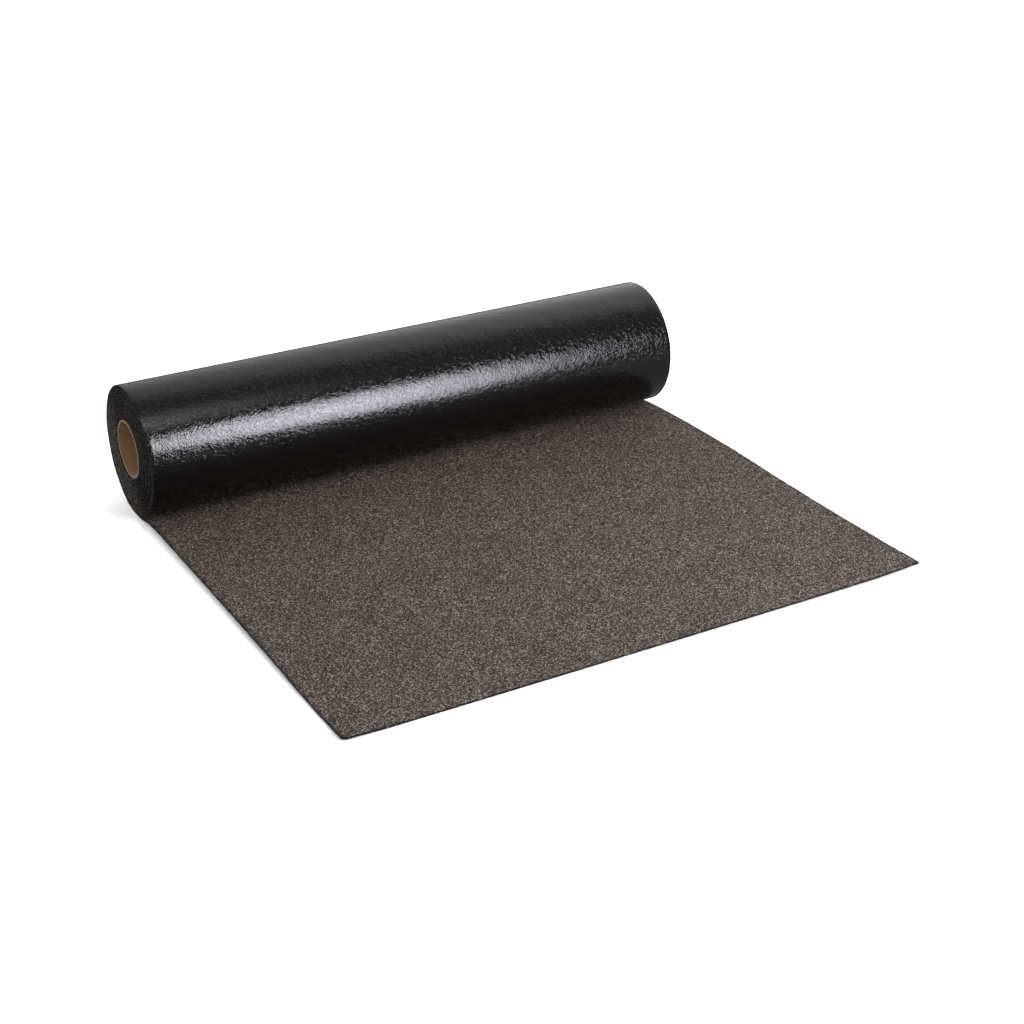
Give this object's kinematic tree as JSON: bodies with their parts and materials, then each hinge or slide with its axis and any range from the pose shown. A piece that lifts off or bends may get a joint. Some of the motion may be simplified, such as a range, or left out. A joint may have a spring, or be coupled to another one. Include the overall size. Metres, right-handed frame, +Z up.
{
  "type": "roll of roofing felt",
  "caption": "Roll of mineral-surfaced bitumen roofing felt on a cardboard core, its free end pulled out flat in front of it.",
  "frame": {"origin": "on the ground under the middle of the whole outline, roll and free end together", "axes": "+X along the roll, +Y from the free edge towards the roll, +Z up"},
  "size_m": [1, 0.9262, 0.2268],
  "materials": {
    "bitumen_felt": "satin",
    "cardboard": "matt"
  },
  "bodies": {
    "root": {"felt_sheet": "bitumen_felt", "cardboard_core": "cardboard"}
  },
  "joints": []
}
